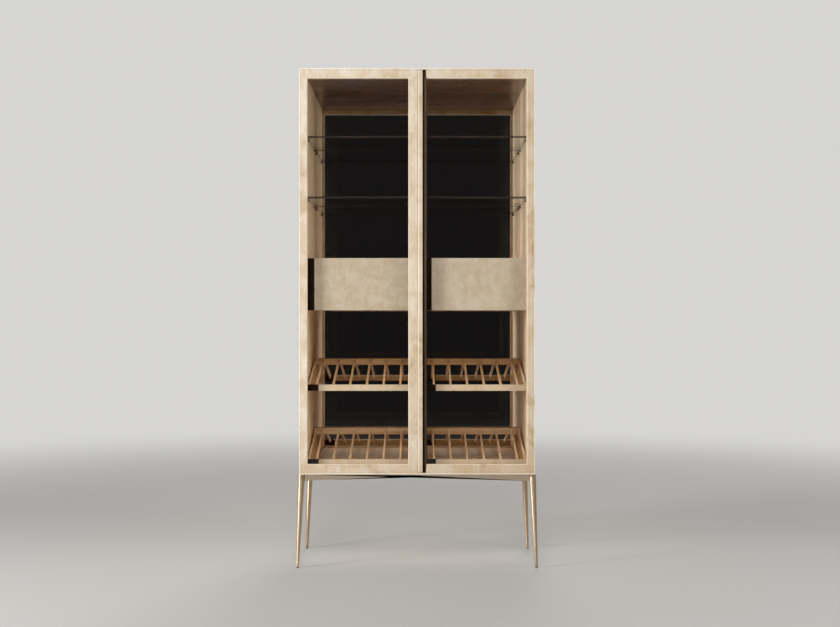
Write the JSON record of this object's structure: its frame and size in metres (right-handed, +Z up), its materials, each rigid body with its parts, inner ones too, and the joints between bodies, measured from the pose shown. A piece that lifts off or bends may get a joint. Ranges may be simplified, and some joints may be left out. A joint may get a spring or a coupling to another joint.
{
  "type": "bar cabinet",
  "caption": "Tall narrow-framed cabinet with inset glass doors, glass shelves, drawers and sloping bottle racks on splayed tapered metal legs.",
  "frame": {"origin": "on the floor under the middle of the cabinet", "axes": "+Z up, +Y from the doors to the back, +X to the right as seen from the doors"},
  "size_m": [0.9268, 0.45, 1.91],
  "materials": {
    "veneer": "satin mottled veneer",
    "inner_veneer": "satin brown veneer",
    "front_veneer": "satin pale veneer",
    "rack_wood": "oiled solid wood",
    "box_wood": "lacquered solid wood",
    "back_board": "matt board",
    "mirror": "smoked mirror",
    "shelf_glass": "clear glass with polished edges",
    "door_glass": "clear glass",
    "trim_metal": "satin champagne",
    "leg_metal": "satin champagne",
    "bronze": "dark bronze",
    "steel": "brushed",
    "plastic": "matt"
  },
  "bodies": {
    "cabinet": {"back_panel": "back_board", "base_rail_front": "leg_metal", "base_rail_left": "leg_metal", "base_rail_rear": "leg_metal", "base_rail_right": "leg_metal", "bottom_panel": "veneer", "central_upright": "inner_veneer", "door_catch": "plastic", "drawer_case_floor": "inner_veneer", "drawer_case_top": "inner_veneer", "drawer_divider": "inner_veneer", "drawer_left_bottom": "box_wood", "drawer_left_box": "box_wood", "drawer_left_front": "front_veneer", "drawer_left_pull": "bronze", "drawer_right_bottom": "box_wood", "drawer_right_box": "box_wood", "drawer_right_front": "front_veneer", "drawer_right_pull": "bronze", "glass_shelf_lower": "shelf_glass", "glass_shelf_upper": "shelf_glass", "leg_glides": "plastic", "legs": "leg_metal", "mirror_lower": "mirror", "mirror_upper": "mirror", "pivot_plates": "steel", "rack_lower_left_front_rail": "front_veneer", "rack_lower_left_grid": "rack_wood", "rack_lower_left_pull": "bronze", "rack_lower_right_front_rail": "front_veneer", "rack_lower_right_grid": "rack_wood", "rack_lower_right_pull": "bronze", "rack_upper_left_front_rail": "front_veneer", "rack_upper_left_grid": "rack_wood", "rack_upper_left_pull": "bronze", "rack_upper_right_front_rail": "front_veneer", "rack_upper_right_grid": "rack_wood", "rack_upper_right_pull": "bronze", "runner_slides": "steel", "runner_tracks": "steel", "shelf_pins": "steel", "side_panel_left": "veneer", "side_panel_right": "veneer", "top_panel": "veneer"},
    "door_left": {"door_left_glass": "door_glass", "door_left_hinge_stile": "veneer", "door_left_meeting_stile": "veneer", "door_left_pivot_leaves": "steel", "door_left_rails": "veneer", "door_left_trim": "trim_metal"},
    "door_right": {"door_right_glass": "door_glass", "door_right_grip_strip": "veneer", "door_right_groove_liner": "bronze", "door_right_hinge_stile": "veneer", "door_right_meeting_stile": "veneer", "door_right_pivot_leaves": "steel", "door_right_rails": "veneer", "door_right_return_bead": "bronze", "door_right_trim": "trim_metal"}
  },
  "joints": [
    {"name": "door_left_hinge", "type": "hinge", "parent": "cabinet", "child": "door_left", "pos_m": [-0.438, -0.22, 1.135], "axis": [0, 0, -1], "range_deg": [0, 100]},
    {"name": "door_right_hinge", "type": "hinge", "parent": "cabinet", "child": "door_right", "pos_m": [0.438, -0.22, 1.135], "axis": [0, 0, 1], "range_deg": [0, 100]}
  ]
}
